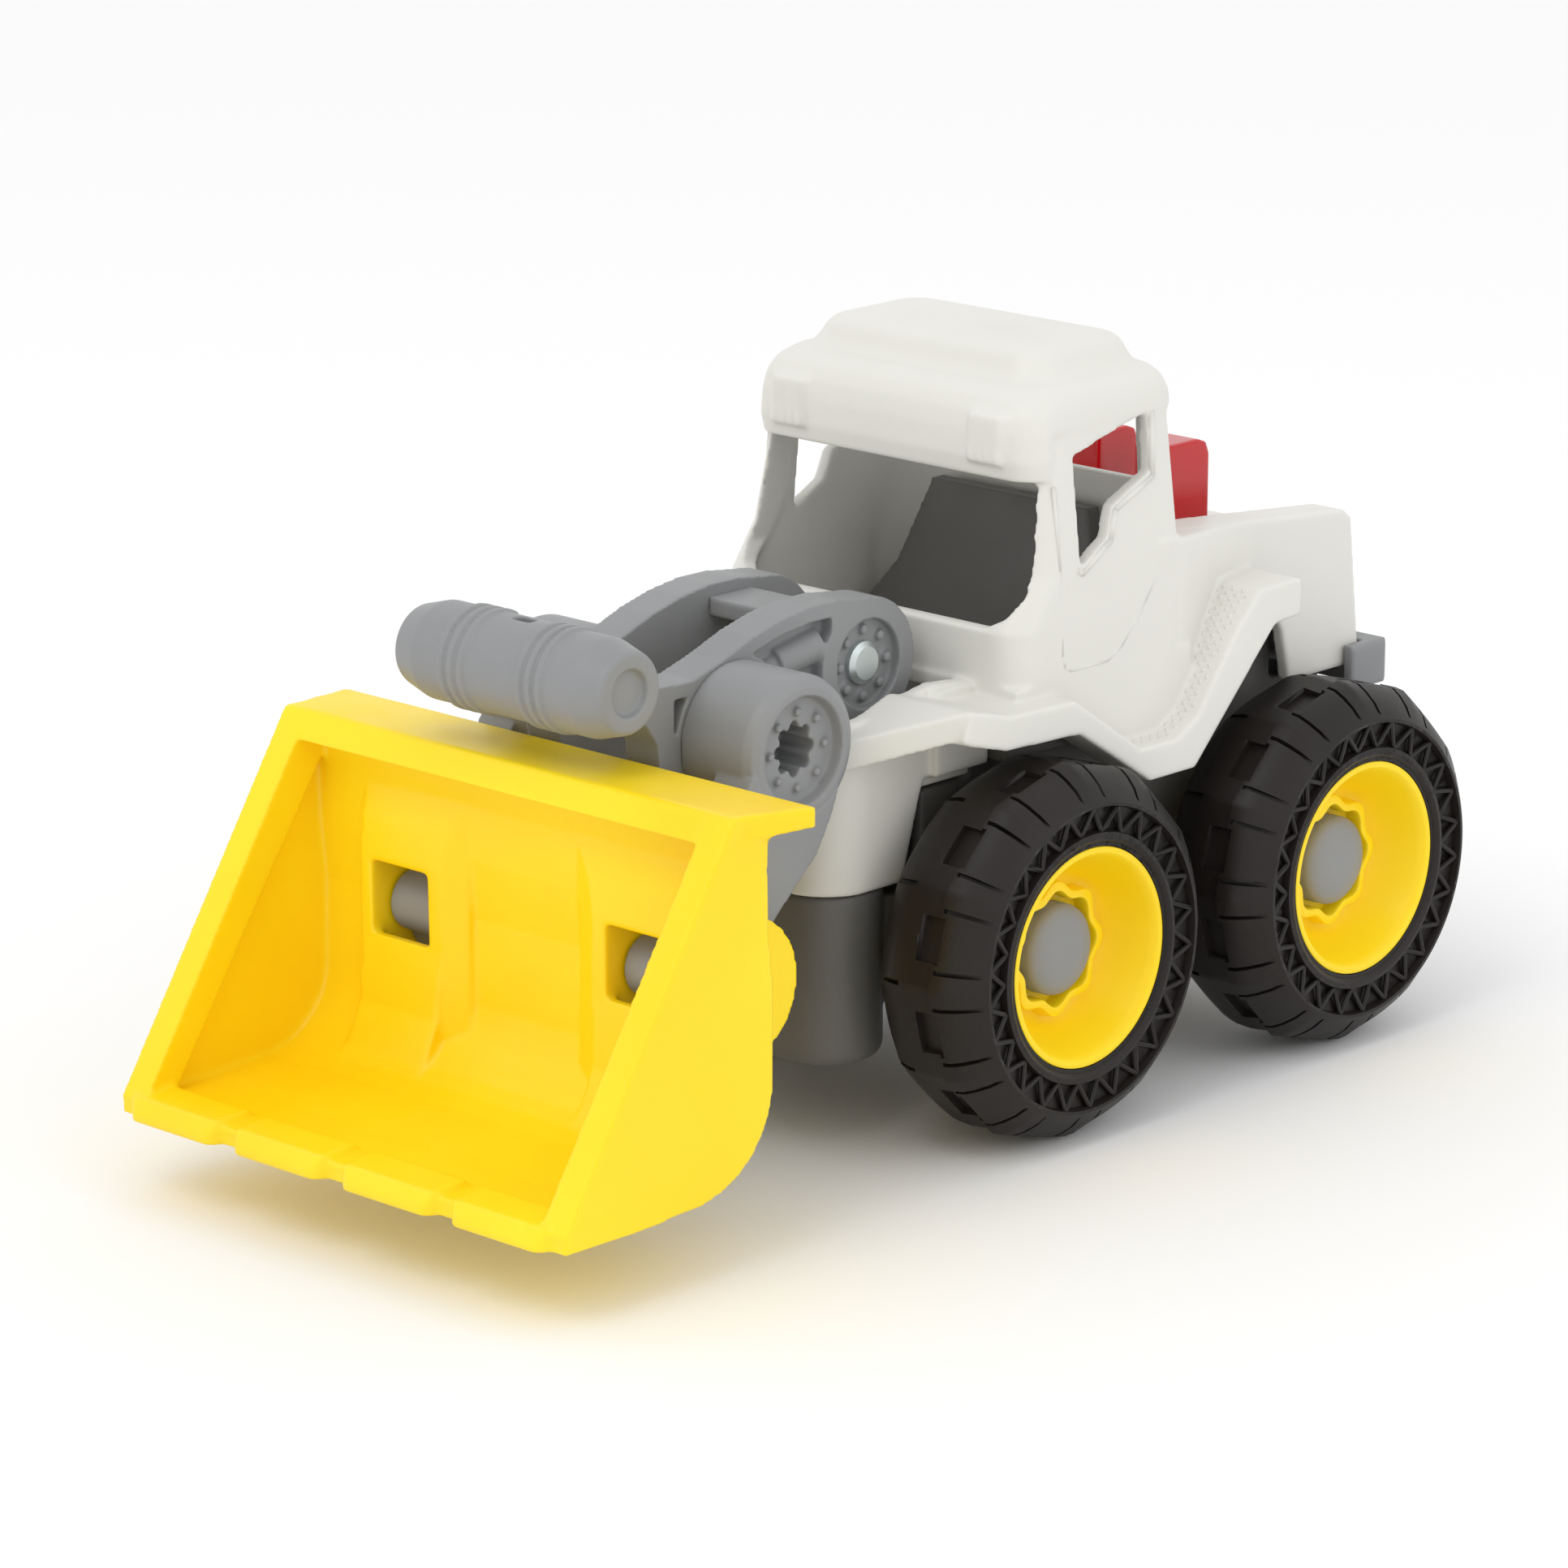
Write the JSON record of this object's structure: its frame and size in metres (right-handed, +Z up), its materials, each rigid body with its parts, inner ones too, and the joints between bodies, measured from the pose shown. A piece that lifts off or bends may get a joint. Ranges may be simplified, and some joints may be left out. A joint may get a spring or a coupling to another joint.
{
  "type": "toy front loader",
  "caption": "Small plastic toy loader with a lifting boom, a tipping yellow scoop, rolling tyres, a hollow cab and red rear beacons.",
  "frame": {"origin": "on the ground under the middle of the overall box", "axes": "+Z up, -Y towards the bucket (front of the vehicle), +X towards the vehicle's left side"},
  "size_m": [0.0852, 0.1846, 0.1023],
  "materials": {
    "white_plastic": "warm white moulded plastic, satin",
    "yellow_plastic": "bright yellow moulded plastic, satin",
    "grey_plastic": "mid grey moulded plastic, satin",
    "dark_grey_plastic": "dark grey moulded plastic, satin",
    "tyre_black": "soft black-brown moulded tyre, low sheen",
    "red_clear_plastic": "see-through red plastic, glossy",
    "zinc_steel": "zinc plated steel"
  },
  "bodies": {
    "body": {"body_shell": "white_plastic", "chassis": "dark_grey_plastic", "rear_bumper": "grey_plastic", "cab_interior": "dark_grey_plastic", "light_left": "red_clear_plastic", "light_right": "red_clear_plastic", "chassis_screws": "zinc_steel"},
    "front_wheels": {"front_axle": "zinc_steel", "front_left_tyre": "tyre_black", "front_left_rim": "yellow_plastic", "front_left_axle_cap": "grey_plastic", "front_right_tyre": "tyre_black", "front_right_rim": "yellow_plastic", "front_right_axle_cap": "grey_plastic"},
    "rear_wheels": {"rear_axle": "zinc_steel", "rear_left_tyre": "tyre_black", "rear_left_rim": "yellow_plastic", "rear_left_axle_cap": "grey_plastic", "rear_right_tyre": "tyre_black", "rear_right_rim": "yellow_plastic", "rear_right_axle_cap": "grey_plastic"},
    "boom": {"arm_left": "grey_plastic", "arm_right": "grey_plastic", "arm_brace": "grey_plastic", "cross_grip": "grey_plastic", "elbow_link_left": "grey_plastic", "elbow_link_right": "grey_plastic", "arm_pivot_pin": "zinc_steel"},
    "bucket": {"bucket": "yellow_plastic", "bucket_pin_left": "zinc_steel", "bucket_pin_right": "zinc_steel"}
  },
  "joints": [
    {"name": "front_axle_spin", "type": "hinge", "parent": "body", "child": "front_wheels", "pos_m": [0, 0.0081, 0.0258], "axis": [1, 0, 0], "continuous": true},
    {"name": "rear_axle_spin", "type": "hinge", "parent": "body", "child": "rear_wheels", "pos_m": [0, 0.066, 0.0258], "axis": [1, 0, 0], "continuous": true},
    {"name": "arm_lift", "type": "hinge", "parent": "body", "child": "boom", "pos_m": [0, -0.0055, 0.0634], "axis": [-1, 0, 0], "range_deg": [0, 50]},
    {"name": "bucket_tilt", "type": "hinge", "parent": "boom", "child": "bucket", "pos_m": [0, -0.0465, 0.0315], "axis": [1, 0, 0], "range_deg": [-4, 45]}
  ]
}
